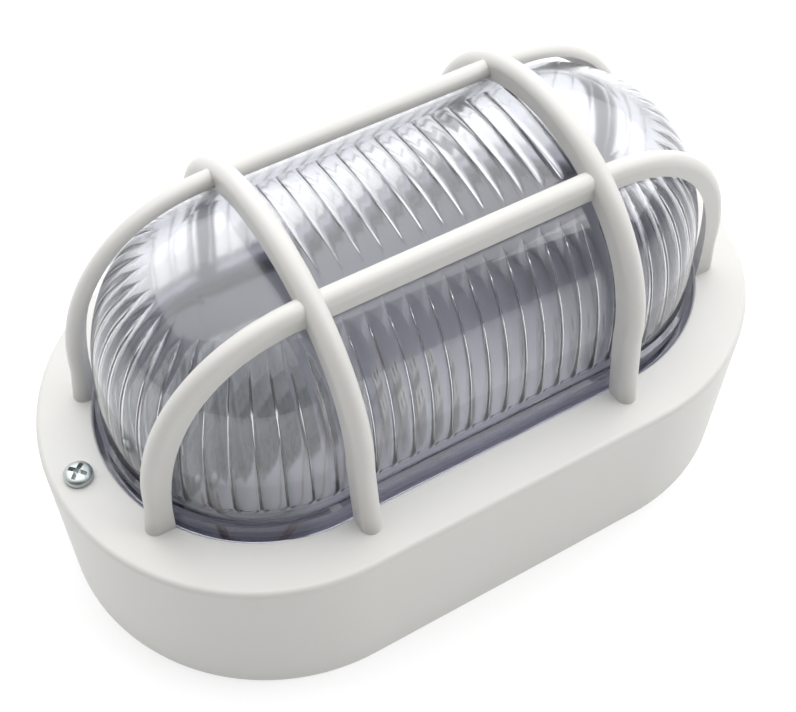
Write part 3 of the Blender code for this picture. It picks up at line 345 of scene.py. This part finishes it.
# %% Cover screws
HEAD_RADIUS, HEAD_HEIGHT, HEAD_RIM, HEAD_POWER, HEAD_STEPS = 3.9, 2.4, 0.6, 2.2, 48
SHANK_RADIUS = 2.0
RECESS_REACH, RECESS_ARM, RECESS_DEPTH, RECESS_TAPER = 7.6, 1.7, 1.9, 0.5
RECESS_TURNS = {"left": 42, "right": 65}


def make_wedge():
    """One arm of the punch, narrower at its foot, round the origin and in edit mode."""
    bpy.ops.object.select_all(action="DESELECT")
    bpy.ops.mesh.primitive_cube_add(size=MM)
    wedge = bpy.context.object
    bpy.ops.object.mode_set(mode="EDIT")
    size = (RECESS_REACH, RECESS_ARM, 2 * RECESS_DEPTH)
    bpy.ops.transform.resize(value=size, center_override=(0, 0, 0))
    pick(lambda place: place.z < 0)
    bpy.ops.transform.resize(value=(RECESS_TAPER, RECESS_TAPER, 1), center_override=(0, 0, 0))
    bpy.ops.mesh.select_all(action="SELECT")
    return wedge


def make_screw(end):
    """A pan-head screw at one end of the cover, as tall as its node."""
    low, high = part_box(f"cover_screw_{end}")
    place = (low[0] + high[0]) / 2 / MM
    top, tip = high[2] / MM, low[2] / MM
    seat = top - HEAD_HEIGHT
    section = [(0, tip), (SHANK_RADIUS, tip + 2 * SHANK_RADIUS), (SHANK_RADIUS, seat), (HEAD_RADIUS, seat)]
    section += dome(seat + HEAD_RIM, top, HEAD_RADIUS, HEAD_POWER, range(0, 91, 9))
    screw = draw_line(f"{end}_cover_screw", [point(place + reach, 0, height) for reach, height in section])
    axis_foot = point(place, 0, 0)
    bpy.ops.mesh.spin(steps=HEAD_STEPS, angle=2 * math.pi, center=axis_foot, axis=(0, 0, 1))
    weld_and_close()
    for turn in (RECESS_TURNS[end], RECESS_TURNS[end] + 90):
        wedge = make_wedge()
        bpy.ops.transform.rotate(value=-math.radians(turn), orient_axis="Z", center_override=(0, 0, 0))
        bpy.ops.transform.translate(value=point(place, 0, top))
        bpy.ops.object.mode_set(mode="OBJECT")
        join_or_cut(screw, "DIFFERENCE", wedge)
    shade(screw, degrees=35)
    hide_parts(f"cover_screw_{end}")
    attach(screw, "root")
    return screw


screws = [make_screw(end) for end in ("left", "right")]

# %% [markdown]
# ## The lens
#
# The real lens is one clear moulding: a domed oval with a collar that stands in the cover's opening and a
# flange that the cover clamps down on the seal. A hollow glassy thing needs both of its skins, because
# light bends at each. A Solidify modifier could give the second one, but the inside has ribs and the
# outside has flutes, so each skin gets its own stops: one section goes from the middle of the dome down
# its outside, round the collar and flange, and back up the inside.
#
# The stops are close where the flutes end on the roof and where the ribs begin at their foot. The steps
# round the oval are close where a groove or rib ends and wide between, which spares faces.

# %% Lens form
LENS_TOP, LENS_RADIUS, LENS_FOOT, LENS_POWER = 113.4, 43.6, 60.0, 2.72
LENS_WALL, ROOF_EXTRA = 2.0, 0.7
FLANGE_OFFSET, FLANGE_THICKNESS, FLANGE_GAP = 50.2, 2.2, 0.3
COLLAR_OFFSET, COLLAR_TOP, COLLAR_STEP = 45.3, 57.2, 0.7
FLUTE_CELLS, RIBS_PER_END = 16, 20
# Where the points stand in a cell of the pattern, as shares of its width.
CELL_MARKS = (0.03, 0.06, 0.175, 0.33, 0.5, 0.67, 0.825, 0.94, 0.97, 1.0)

lens_inner = LENS_RADIUS - LENS_WALL
lens_roof = LENS_TOP - LENS_WALL - ROOF_EXTRA
flange_top = FACE_HEIGHT - FACE_WALL - FLANGE_GAP
outside_turns = [*range(90, 72, -3), 72.5, *range(72, -1, -3)]
inside_turns = [0, 0.3, 0.48, 0.8, 1.8, 3.6, *range(6, 91, 3)]
lens_section = [
    *dome(LENS_FOOT, LENS_TOP, LENS_RADIUS, LENS_POWER, outside_turns),
    (LENS_RADIUS + COLLAR_STEP / 2, COLLAR_TOP + COLLAR_STEP),
    (COLLAR_OFFSET, COLLAR_TOP),
    (COLLAR_OFFSET, flange_top),
    (FLANGE_OFFSET, flange_top),
    (FLANGE_OFFSET, flange_top - FLANGE_THICKNESS),
    (lens_inner, flange_top - FLANGE_THICKNESS),
    *dome(LENS_FOOT, lens_roof, lens_inner, LENS_POWER, inside_turns),
]
steps_in_cell = [after - before for before, after in zip((0.0, *CELL_MARKS), CELL_MARKS)]
lens = round_the_oval("clear_lens", lens_section, RIBS_PER_END, FLUTE_CELLS, steps_in_cell)
print("lens", len(lens.data.polygons), "faces")

# %% [markdown]
# ## Flutes and ribs
#
# The lens hides the lamp by breaking up what lies behind it. Over its top, narrow grooves with soft
# flanks part the wide flutes. Inside its walls, each cell is hollowed like a shallow trough, so that a
# thin ridge is left between two troughs. A displaced texture would need far more faces for such fine
# lines, and bump alone would bend no light. Here all points at one place in their cells move together:
# grooves go straight down, while ridges and troughs are scaled a little towards the middle of the dome or
# away from it. They fade out where the wall turns into the roof.
#
# First come the questions that a point has to answer: how far it is from the nearest groove or rib line,
# as a share of its cell, in which part of the oval it lies, and on which skin.

# %% Where the flutes and ribs are
FLUTE_LINES, FLUTE_REACH, FLUTE_RISE = 15, 18.1, 0.9
RIB_FOOT = 61.3
SKIN_PLAY = 0.2
SAME_MARK = 0.003
ON_SPINE = 0.001


def offset_of(place):
    """Distance in millimetres from the oval's straight centre line."""
    return math.hypot(max(abs(place.x) / MM - SPINE, 0), place.y / MM)


def part_of(place):
    """-1 and 1 for the two round ends, 0 for the straight middle."""
    beyond = abs(place.x) / MM > SPINE + ON_SPINE
    return int(math.copysign(beyond, place.x))


def at_mark(place, mark):
    """Whether a point is a given share of its cell away from the nearest groove or rib line."""
    along = abs(place.x) / MM - SPINE
    if along <= ON_SPINE:
        cells = (place.x / MM + SPINE) / (2 * SPINE) * FLUTE_CELLS
    else:
        cells = math.degrees(math.atan2(abs(place.y) / MM, along)) / 180 * RIBS_PER_END
    return abs(abs(cells - round(cells)) - mark) < SAME_MARK


def on_flutes(place):
    """Whether a point lies on the outside of the roof, where the grooves are."""
    lines_out = abs(place.x) / MM * FLUTE_CELLS / (2 * SPINE)
    on_roof = place.z / MM > lens_roof + FLUTE_RISE and abs(place.y) / MM < FLUTE_REACH
    return on_roof and lines_out < FLUTE_LINES / 2


def on_ribs(place, nearest, furthest):
    """Whether a point lies on the inside of the wall, between two distances from the centre line."""
    reach, height = offset_of(place), place.z / MM
    rise = min(max((height - LENS_FOOT) / (lens_roof - LENS_FOOT), 0), 1)
    skin_reach = lens_inner * (1 - rise**LENS_POWER) ** (1 / LENS_POWER)
    return height > RIB_FOOT and nearest < reach <= furthest and reach < skin_reach + SKIN_PLAY


print("points on the flutes", sum(on_flutes(v.co) for v in lens.data.vertices))

# %% [markdown]
# A groove has hollow flanks and a ridge straight ones, and both end after a share of the cell. A
# trough's floor follows a parabola, deepest half way between two ridges. Near the roof a narrow band of
# the wall gets only a part of the full height, which fades the ribs out.

# %% Flutes and ribs
FLUTE_DEPTH, FLUTE_SIDE = 0.45, 0.175
RIB_HEIGHT, RIB_SIDE, TROUGH_DEPTH = 0.25, 0.06, 0.35
# From and to, as distances from the centre line, and the share of the full height between them.
RIB_BANDS = ((25.6, 28.3, 0.35), (28.3, 60.0, 1.0))
MID_CELL = 0.5


def rib_height(mark):
    """How far the inner skin stands in, from the top of a ridge down to the middle of a trough."""
    if mark < RIB_SIDE:
        return RIB_HEIGHT * (1 - mark / RIB_SIDE)
    return -TROUGH_DEPTH * (1 - ((MID_CELL - mark) / (MID_CELL - RIB_SIDE)) ** 2)


work_on(lens)
bpy.ops.object.mode_set(mode="EDIT")
for mark in (0.0, *[m for m in CELL_MARKS if m <= MID_CELL]):
    if mark < FLUTE_SIDE:
        pick(lambda place: on_flutes(place) and at_mark(place, mark))
        bpy.ops.transform.translate(value=point(0, 0, -FLUTE_DEPTH * (1 - mark / FLUTE_SIDE) ** 2))
    inward = rib_height(mark)
    for nearest, furthest, share in RIB_BANDS:
        narrow = 1 - inward * share / lens_inner
        lower = 1 - inward * share / (lens_roof - LENS_FOOT)
        for side in (-1, 0, 1):
            pick(lambda p: at_mark(p, mark) and part_of(p) == side and on_ribs(p, nearest, furthest))
            size = (narrow if side else 1, narrow, lower)
            bpy.ops.transform.resize(value=size, center_override=point(side * SPINE, 0, LENS_FOOT))
    print("moved the points at", mark, "of a cell inwards by", round(inward, 3), "mm")
bpy.ops.object.mode_set(mode="OBJECT")
shade(lens, degrees=24)
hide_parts("lens")
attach(lens, "root")

# %% [markdown]
# ## Finishes
#
# A material here is a principled shader and a few nodes that read Object coordinates, which are real
# metres on every piece. So a pattern's scale is one divided by a real size, and no piece has to be
# unwrapped. A few small helpers are enough: one turns a written colour into linear light, one makes the
# material and sets what is the same all over, and one adds any node with its settings and links. With
# them, two more give a material an uneven skin and tones that drift.


# %% Helpers for finishes
def colour(code):
    """A colour written as sRGB hex, as linear light."""
    parts = [int(code[i : i + 2], 16) / 255 for i in (0, 2, 4)]
    return (*[p / 12.92 if p <= 0.04045 else ((p + 0.055) / 1.055) ** 2.4 for p in parts], 1.0)


def new_material(name, **inputs):
    """A material with a principled shader, its inputs set by their names."""
    made = bpy.data.materials.new(name)
    made.use_nodes = True
    shader = made.node_tree.nodes["Principled BSDF"]
    for label, value in inputs.items():
        shader.inputs[label.replace("_", " ")].default_value = value
    return made


def add_node(owner, kind, values=None, **settings):
    """Adds a node to a material or the world, and fills its inputs with values or links."""
    tree = owner.node_tree
    added = tree.nodes.new("ShaderNode" + kind)
    for setting, value in settings.items():
        setattr(added, setting, value)
    for label, value in (values or {}).items():
        if isinstance(value, bpy.types.NodeSocket):
            tree.links.new(value, added.inputs[label])
        else:
            added.inputs[label].default_value = value
    return added


def link(material, output, label):
    """Leads an output to an input of the material's principled shader."""
    material.node_tree.links.new(output, material.node_tree.nodes["Principled BSDF"].inputs[label])


# %% Skin and tones
def give_skin(material, grain, depth, roughness, stretch=(1.0, 1.0, 1.0)):
    """Uneven skin with grains of one size and depth in mm, and returns the pattern's coordinates."""
    place = add_node(material, "TexCoord").outputs["Object"]
    pattern = add_node(material, "Mapping", {"Vector": place, "Scale": stretch}).outputs["Vector"]
    noise = add_node(material, "TexNoise", {"Vector": pattern, "Scale": 1 / (grain * MM), "Detail": 3.0})
    low, high = roughness
    spread = add_node(material, "MapRange", {"Value": noise.outputs["Fac"], "To Min": low, "To Max": high})
    bump = add_node(material, "Bump", {"Height": noise.outputs["Fac"], "Distance": depth * MM})
    link(material, spread.outputs["Result"], "Roughness")
    link(material, bump.outputs["Normal"], "Normal")
    return pattern


def give_clouds(material, pattern, size, first, second):
    """Colour that drifts between two close tones, in soft clouds of one size in mm."""
    noise = add_node(material, "TexNoise", {"Vector": pattern, "Scale": 1 / (size * MM), "Detail": 1.0})
    tones = {"Fac": noise.outputs["Fac"], "Color1": colour(first), "Color2": colour(second)}
    link(material, add_node(material, "MixRGB", tones).outputs["Color"], "Base Color")


# %% [markdown]
# ## White plastic, and grey that paints shade
#
# The cover and cage are white polycarbonate, injection moulded in a mould whose walls were eroded by
# sparks. That leaves a satin skin: highlights are wide and soft, and the tone is slightly warm where the
# resin is thick. An even white would look like plaster, so its tone drifts very little over a few
# centimetres. The real grain is under a tenth of a millimetre, too fine to show, so it is drawn five
# times as coarse and very shallow. The base behind the lens gets the same plastic in a darker, bluish
# light grey: that grey is painted shade, for the dim inside of the dome.

# %% White plastic, and grey that paints shade
white = new_material("white_polycarbonate", IOR=1.585)
pattern = give_skin(white, grain=0.5, depth=0.004, roughness=(0.36, 0.48))
give_clouds(white, pattern, size=35, first="CDCCC9", second="CAC9C5")

# Painted shade: the base's plastic made a darker bluish grey, for the dim inside of the dome.
grey = new_material("grey_polycarbonate_painted_shade", IOR=1.585)
pattern = give_skin(grey, grain=0.5, depth=0.004, roughness=(0.36, 0.48))
give_clouds(grey, pattern, size=30, first="ADADB3", second="A9A9AF")
print("made", white.name, "and", grey.name)

# %% [markdown]
# ## Clear plastic
#
# The lens is clear polycarbonate from a polished mould. It bends light like heavy glass, is a little
# wavy, and has a faint violet cast that shows only where the eye looks along the wall, as in the collar
# and flange: they get a darker twin of the material. That darker tint is partly this real cast and
# partly painted shade, for the shadowed gap between collar and cover that shows through them. A volume
# with real absorption would be truer for the cast, but it is slow and noisy, and the cast is faint. The
# inside of the dome is a little hazy, as from a core that was left unpolished, and that blurs what stands
# behind. A path tracer lets no lamp light through such a shader, so for shadow rays alone it is mixed
# with a plain transparent one.


# %% Clear plastic
def clear_plastic(name, tint, haze):
    """Polished clear plastic, slightly wavy, which lets the light of the lamps in."""
    made = new_material(name, Base_Color=colour(tint), IOR=1.585, Transmission_Weight=1.0)
    shader = made.node_tree.nodes["Principled BSDF"]
    give_skin(made, grain=9.0, depth=0.012, roughness=haze)
    ray = add_node(made, "LightPath")
    through = add_node(made, "BsdfTransparent", {"Color": colour("F8F9FC")})
    parts = {0: ray.outputs["Is Shadow Ray"], 1: shader.outputs[0], 2: through.outputs[0]}
    mixed = add_node(made, "MixShader", parts)
    made.node_tree.links.new(mixed.outputs[0], made.node_tree.nodes["Material Output"].inputs["Surface"])
    return made


clear = clear_plastic("clear_polycarbonate", tint="F5F6FA", haze=(0.01, 0.04))
hazy = clear_plastic("hazy_clear_polycarbonate", tint="F5F6FA", haze=(0.10, 0.13))
# Darker twin for collar and flange: partly their real violet cast, partly painted shade of the gap by the
# cover.
thick = clear_plastic("thick_clear_polycarbonate_painted_shade", tint="C0C0CE", haze=(0.03, 0.08))
print("made", clear.name, hazy.name, "and", thick.name)

# %% [markdown]
# ## Rubber and metal
#
# The seal and the grommet are moulded silicone rubber, matt and grey. The bracket and the screws are
# zinc-plated steel: a bright metal with a cool tint, whose sheet was rolled, so its streaks run one way.
# A streak is the grain's pattern, stretched ten times one way by the Mapping node. The contacts and the
# terminal tubes are turned and pressed brass, smoother than the zinc and yellow as brass is, with faint
# streaks along the light's length, as its drawn stock has. Real streaks are finer than a pixel, so both
# metals' are drawn coarser.

# %% Rubber and metal
silicone = new_material("silicone_rubber", Base_Color=colour("A0A0A6"), IOR=1.41)
give_skin(silicone, grain=0.8, depth=0.01, roughness=(0.6, 0.75))

zinc = new_material("zinc_plated_steel", Metallic=1.0)
pattern = give_skin(zinc, grain=1.2, depth=0.002, roughness=(0.32, 0.42), stretch=(1.0, 0.1, 1.0))
give_clouds(zinc, pattern, size=6, first="C3C9C8", second="B6BDBC")

brass = new_material("turned_brass", Metallic=1.0)
pattern = give_skin(brass, grain=0.6, depth=0.002, roughness=(0.22, 0.38), stretch=(0.15, 1.0, 1.0))
give_clouds(brass, pattern, size=8, first="CBAA66", second="BD9A58")
print("made", silicone.name, zinc.name, "and", brass.name)

# %% [markdown]
# ## Holder, block and wires
#
# Behind the lens these are only seen broken up, but from close by and in other views they still have to
# read as what they are. The holder is a thermoset moulding, hard and glossy, with a slight orange peel
# from its mould; its dark grey is partly its own colour and partly painted shade, for the shadow it
# stands in inside the lens. The terminal block is natural nylon, slightly waxy. The two wires wear a
# braided sleeve of glass yarn in pale brown and pale blue: the yarn scatters light, so they are quite
# matt, and the grain is as wide as one yarn.

# %% Holder, block and wires
# Dark grey: partly the holder's own colour, partly painted shade inside the lens.
thermoset = new_material("thermoset_with_painted_shade", IOR=1.6)
pattern = give_skin(thermoset, grain=2.5, depth=0.01, roughness=(0.22, 0.34))
give_clouds(thermoset, pattern, size=12, first="7E8080", second="757776")

nylon = new_material("natural_nylon", IOR=1.53)
pattern = give_skin(nylon, grain=0.7, depth=0.006, roughness=(0.4, 0.55))
give_clouds(nylon, pattern, size=10, first="ABAAA6", second="A4A29E")

brown = new_material("brown_glass_sleeving", IOR=1.5)
pattern = give_skin(brown, grain=0.35, depth=0.05, roughness=(0.7, 0.85))
give_clouds(brown, pattern, size=1.5, first="95867C", second="877970")

blue = new_material("blue_glass_sleeving", IOR=1.5)
pattern = give_skin(blue, grain=0.35, depth=0.05, roughness=(0.7, 0.85))
give_clouds(blue, pattern, size=1.5, first="8793A3", second="798596")
print("made", len(bpy.data.materials), "materials in all")

# %% [markdown]
# ## Giving the finishes out
#
# The construction's own pieces keep their shapes and only change their material. The mouldings and screws
# that were modelled above take theirs. The lens is one closed mesh, so its three finishes are given face
# by face: faces that look towards a place in its middle, a little under the foot of the dome, are the
# hazy inside, and everything below that foot is collar or flange and takes the thick one, whose darker
# tint is partly painted shade.

# %% Giving the finishes out
FINISHES = {
    # The base's grey is painted shade.
    "base_housing": grey,
    "lens_gasket": silicone,
    "entry_grommet": silicone,
    "lampholder_body": thermoset,
    "threaded_sleeve": brass,
    "centre_contact": brass,
    "sleeve_contact": brass,
    "terminal_block": nylon,
    "terminal_tube_live": brass,
    "terminal_tube_neutral": brass,
    "wire_live": brown,
    "wire_neutral": blue,
}
REPLACED = ("guard_cover", "lens", "cover_screw_left", "cover_screw_right")
for name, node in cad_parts.items():
    if name not in REPLACED:
        node.data.materials.clear()
        node.data.materials.append(FINISHES.get(name, zinc))
cover.data.materials.append(white)
for screw in screws:
    screw.data.materials.append(zinc)
print("dressed", len(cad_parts), "pieces")

# %% Three finishes on the lens
# Below this height the lens takes the darker twin, which is partly painted shade.
COLLAR_TINT_AND_SHADE_BELOW = COLLAR_TOP + 0.2
DOME_MIDDLE = LENS_FOOT - 10

for material in (clear, hazy, thick):
    lens.data.materials.append(material)
for face in lens.data.polygons:
    middle = point(max(-SPINE, min(SPINE, face.center.x / MM)), 0, DOME_MIDDLE)
    faces_inward = face.normal.dot(face.center - middle) < 0
    face.material_index = 2 if face.center.z < COLLAR_TINT_AND_SHADE_BELOW * MM else int(faces_inward)
print("hazy faces on the lens", sum(face.material_index == 1 for face in lens.data.polygons))

# %% [markdown]
# ## Camera
#
# The light lies on its back and is seen from its near left corner, from well above. The camera's place
# and lens were worked out from the outlines of the front rim, whose real size is known, so nothing has
# to be shifted or cropped. It could be aimed with a constraint, but that leaves no say over the roll. So
# it is set up from three angles, as one would turn a tripod head.

# %% Camera
AZIMUTH, ELEVATION, ROLL = (math.radians(v) for v in (-31.55, 53.61, 1.31))
CAMERA_PLACE = (-0.1232, -0.1973, 0.35385)
FOCAL_LENGTH, IMAGE_WIDTH, SENSOR_WIDTH = 1334.5, 796, 36.0

across = math.cos(ELEVATION)
back = Vector((math.sin(AZIMUTH) * across, -math.cos(AZIMUTH) * across, math.sin(ELEVATION)))
level = Vector((math.cos(AZIMUTH), math.sin(AZIMUTH), 0))
above = back.cross(level)
right = math.cos(ROLL) * level + math.sin(ROLL) * above
up = -math.sin(ROLL) * level + math.cos(ROLL) * above

bpy.ops.object.camera_add(location=CAMERA_PLACE)
camera = bpy.context.object
camera.name = "photo_camera"
camera.rotation_euler = Matrix((right, up, back)).transposed().to_euler()
camera.data.sensor_width = SENSOR_WIDTH
camera.data.lens = SENSOR_WIDTH * FOCAL_LENGTH / IMAGE_WIDTH
camera.data.clip_start = 0.01
bpy.context.scene.camera = camera
print("lens of", round(camera.data.lens, 1), "mm")

# %% [markdown]
# ## Floor
#
# The light lies on a white table that glows a little from below, as a backlit sheet of acrylic does. A
# plain white floor would need far more light to come out white, and that would burn out the cover. The
# glow also keeps the shadow round the light faint.

# %% Floor
FLOOR_WIDTH = 8.0

bpy.ops.mesh.primitive_plane_add(size=FLOOR_WIDTH)
floor = bpy.context.object
floor.name = "floor"
table = new_material(
    "white_acrylic_table",
    Base_Color=colour("B6B6B6"),
    Roughness=0.9,
    Emission_Color=colour("FFFFFF"),
    Emission_Strength=0.55,
)
floor.data.materials.append(table)
print("floor", floor.dimensions.x, "m wide")

# %% [markdown]
# ## Panels and sweep
#
# Three soft panels stand round the table. The largest hangs above like a white ceiling, so wide that the
# lens's roof mirrors no edge of it: a smaller lamp would be sharper, but its outline would sit on the
# lens as a bright patch. The right-hand one models the skirt, and the left-hand one only opens the dark
# side a little.
#
# The rest of the studio is a soft white sweep, bright behind the object and dark behind the camera. The
# bright side shows through the lens and on the bars' crowns, and the dark side shapes their near flanks.
# An even white world would take all form out of white plastic.

# %% Panels
AIM = Vector((0, 0, 0.05))
for name, place, size, strength in (
    ("top_panel", (0.2, 0.35, 1.3), (3.2, 2.2), 1.5),
    ("right_panel", (0.9, -0.6, 0.8), (0.8, 0.6), 2.3),
    ("left_panel", (-1.1, 0.3, 0.4), (0.8, 0.5), 0.4),
):
    turn = (Vector(place) - AIM).to_track_quat("Z", "Y").to_euler()
    bpy.ops.object.light_add(type="AREA", location=place, rotation=turn)
    light = bpy.context.object
    light.name = name
    light.data.shape = "RECTANGLE"
    light.data.size, light.data.size_y = size
    light.data.energy = strength * math.pi * size[0] * size[1]
    print(name, "gives", round(light.data.energy, 2), "W")

# %% Studio sweep
DARK_SIDE, BRIGHT_SIDE = 0.08, 1.0
TOWARDS_BRIGHT = Vector((0.5, 0.8, 0.4)).normalized()
SWEEP_START, SWEEP_END = -0.5, 0.6

world = bpy.data.worlds.new("studio")
bpy.context.scene.world = world
world.use_nodes = True
direction = add_node(world, "TexCoord").outputs["Generated"]
facing = add_node(world, "VectorMath", {0: direction, 1: TOWARDS_BRIGHT}, operation="DOT_PRODUCT")
spread = {
    "Value": facing.outputs["Value"],
    "From Min": SWEEP_START,
    "From Max": SWEEP_END,
    "To Min": DARK_SIDE,
    "To Max": BRIGHT_SIDE,
}
sweep = add_node(world, "MapRange", spread, interpolation_type="SMOOTHSTEP")
background = world.node_tree.nodes["Background"]
background.inputs["Color"].default_value = colour("FFFFFF")
world.node_tree.links.new(sweep.outputs["Result"], background.inputs["Strength"])
bpy.context.scene.view_settings.view_transform = "Standard"
print("studio from", DARK_SIDE, "to", BRIGHT_SIDE)
